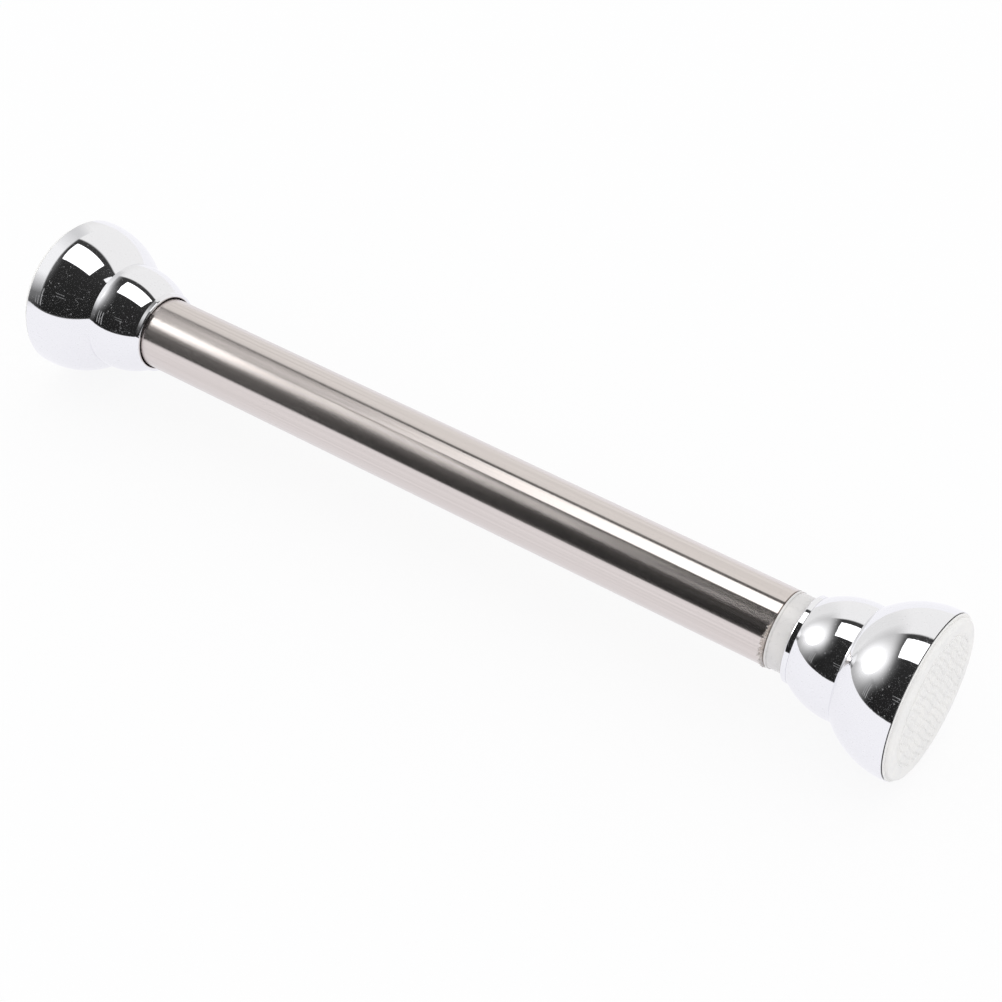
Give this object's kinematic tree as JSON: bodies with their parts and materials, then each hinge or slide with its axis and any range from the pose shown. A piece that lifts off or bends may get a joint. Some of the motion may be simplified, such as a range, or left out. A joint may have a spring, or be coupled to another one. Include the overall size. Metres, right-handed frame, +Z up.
{
  "type": "extendable curtain rod",
  "caption": "Telescopic tension rod with domed chromed end caps and soft round pads, held between two walls by an internal spring and lead screw.",
  "frame": {"origin": "middle of the left pad's outer face, where the rod meets the left wall", "axes": "+X along the rod towards the right pad, +Z up; the rod is round about X"},
  "size_m": [0.3362, 0.0536, 0.0536],
  "materials": {
    "steel": "lengthwise brushed and polished",
    "plated_shell": "mirror",
    "white_plastic": "satin",
    "soft_pad": "soft matte",
    "clear_plastic": "milky translucent",
    "spring_steel": "drawn wire",
    "grey_plastic": "satin"
  },
  "bodies": {
    "left_end": {"left_cap": "plated_shell", "left_core": "white_plastic", "left_pad": "soft_pad"},
    "outer": {"outer_tube": "steel", "mouth_collar": "clear_plastic", "spring_plug": "white_plastic", "spring": "spring_steel"},
    "screw": {"lead_screw": "grey_plastic"},
    "right_end": {"right_cap": "plated_shell", "right_core": "white_plastic", "right_pad": "soft_pad"},
    "inner": {"inner_tube": "steel", "nut": "grey_plastic"}
  },
  "joints": [
    {"name": "left_swivel", "type": "hinge", "parent": "left_end", "child": "outer", "pos_m": [0.0274, 0, 0], "axis": [1, 0, 0], "continuous": true},
    {"name": "spring_travel", "type": "slide", "parent": "outer", "child": "screw", "axis": [1, 0, 0], "range_m": [-0.012, 0], "stiffness_N_per_m": 1880, "springref_m": 0.008, "deforming": ["spring"]},
    {"name": "extend", "type": "slide", "parent": "screw", "child": "right_end", "axis": [1, 0, 0], "range_m": [0, 0.15]},
    {"name": "twist", "type": "hinge", "parent": "right_end", "child": "inner", "pos_m": [0.3028, 0, 0], "axis": [1, 0, 0], "range_deg": [0, 5400]}
  ],
  "couplings": [
    {"joint": "twist", "follows": "extend", "rad_per_m": 628.32}
  ]
}
